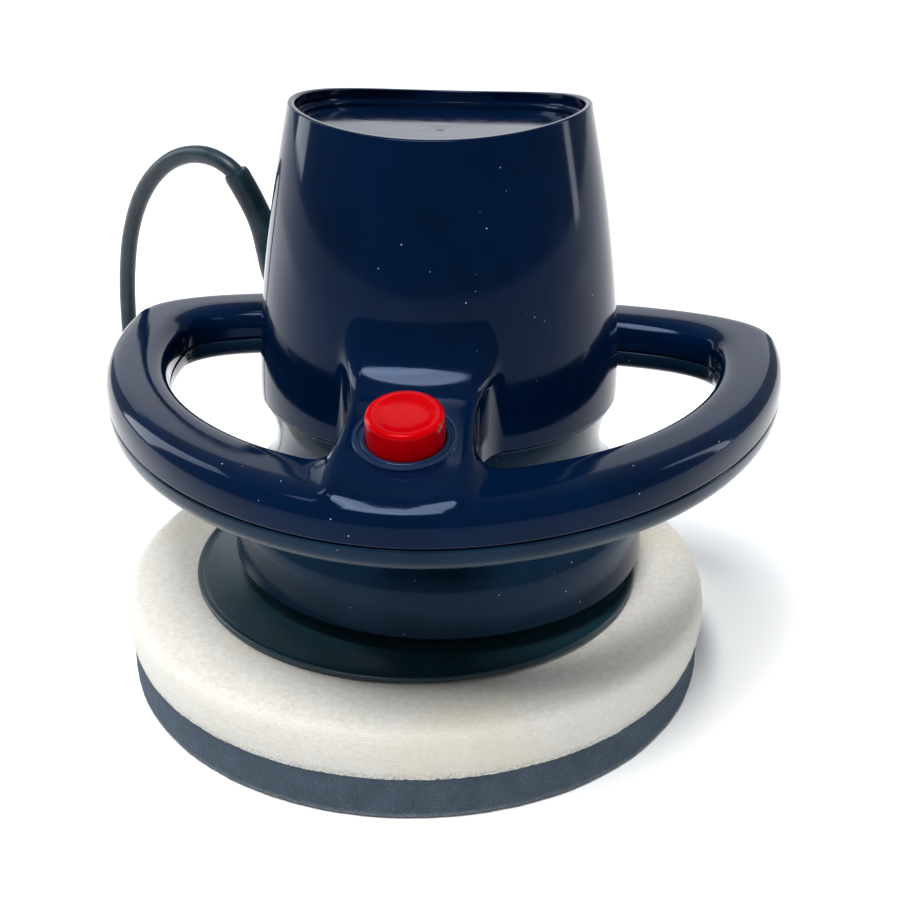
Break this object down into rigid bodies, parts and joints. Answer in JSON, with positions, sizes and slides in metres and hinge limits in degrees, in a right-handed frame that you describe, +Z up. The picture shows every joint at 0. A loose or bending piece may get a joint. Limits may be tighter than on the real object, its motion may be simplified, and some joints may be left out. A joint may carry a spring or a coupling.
{
  "type": "car polisher",
  "caption": "Hand-held mains car polisher: motor tower on a two-handed oval grip ring, push-button switch, and a round foam pad on an eccentric drive, with cord and plug.",
  "frame": {"origin": "on the motor's axis, in the plane of the pad's working face, which is the face that the polisher stands on", "axes": "+Z up along the motor shaft, -Y towards the front with the switch, +X to the user's right when facing the switch"},
  "size_m": [0.3114, 0.391, 0.2267],
  "materials": {
    "navy_plastic": "glossy moulded",
    "plate_plastic": "satin moulded",
    "dark_foam": "open cell foam",
    "pale_foam": "open cell foam",
    "hook_fabric": "hook tape",
    "red_plastic": "glossy moulded",
    "black_plastic": "moulded",
    "brown_plastic": "moulded phenolic",
    "cord_rubber": "matt",
    "steel": "turned",
    "plated_steel": "zinc plated",
    "black_steel": "black oxide",
    "iron": "cast",
    "aluminium": "die cast",
    "brass": "bright",
    "copper": "enamelled wire",
    "ferrite": "sintered",
    "carbon": "pressed carbon",
    "board": "glass epoxy",
    "lead_insulation": "pvc insulation"
  },
  "bodies": {
    "housing": {"lower_housing": "navy_plastic", "upper_housing": "navy_plastic", "top_cap": "navy_plastic", "ring_screws": "black_steel", "motor_plate": "aluminium", "motor_plate_screws": "plated_steel", "motor_screws": "plated_steel", "drive_end_cap": "aluminium", "drive_end_bearing": "steel", "motor_can": "plated_steel", "motor_magnets": "ferrite", "brush_end_cap": "brown_plastic", "brush_end_bearing": "steel", "motor_tie_bolts": "plated_steel", "brush_holders": "brass", "carbon_brushes": "carbon", "brush_springs": "steel", "brush_caps": "black_plastic", "rectifier_board": "board", "board_parts": "black_plastic", "board_standoffs": "brass", "internal_leads": "lead_insulation", "supply_lead": "cord_rubber", "cord_clamp": "black_plastic", "clamp_screws": "plated_steel", "strain_relief": "cord_rubber", "switch_bezel": "navy_plastic", "switch_body": "black_plastic", "switch_terminals": "brass", "switch_spring": "steel", "power_cord": "cord_rubber", "cord_coil": "cord_rubber", "plug_lead": "cord_rubber", "cord_tie": "black_plastic", "plug_body": "cord_rubber", "plug_pins": "plated_steel"},
    "drive": {"motor_shaft": "steel", "armature_core": "iron", "armature_windings": "copper", "commutator": "copper", "fan": "black_plastic", "eccentric_hub": "iron", "hub_set_screw": "black_steel", "eccentric_pin": "steel", "pad_washer": "plated_steel", "pad_bolt": "plated_steel"},
    "pad": {"face_foam": "dark_foam", "pale_foam": "pale_foam", "hook_disc": "hook_fabric", "backing_plate": "plate_plastic", "pad_bearing": "steel", "bearing_circlip": "black_steel"},
    "button": {"switch_button": "red_plastic"}
  },
  "joints": [
    {"name": "drive_spin", "type": "hinge", "parent": "housing", "child": "drive", "pos_m": [0, 0, 0.06], "axis": [0, 0, 1], "continuous": true},
    {"name": "pad_spin", "type": "hinge", "parent": "drive", "child": "pad", "pos_m": [-0.00834, -0.00834, 0.043], "axis": [0, 0, 1], "continuous": true},
    {"name": "button_press", "type": "slide", "parent": "housing", "child": "button", "axis": [0, 0.2436, -0.9699], "range_m": [0, 0.003], "stiffness_N_per_m": 600, "springref_m": -0.002, "deforming": ["switch_spring"]}
  ]
}
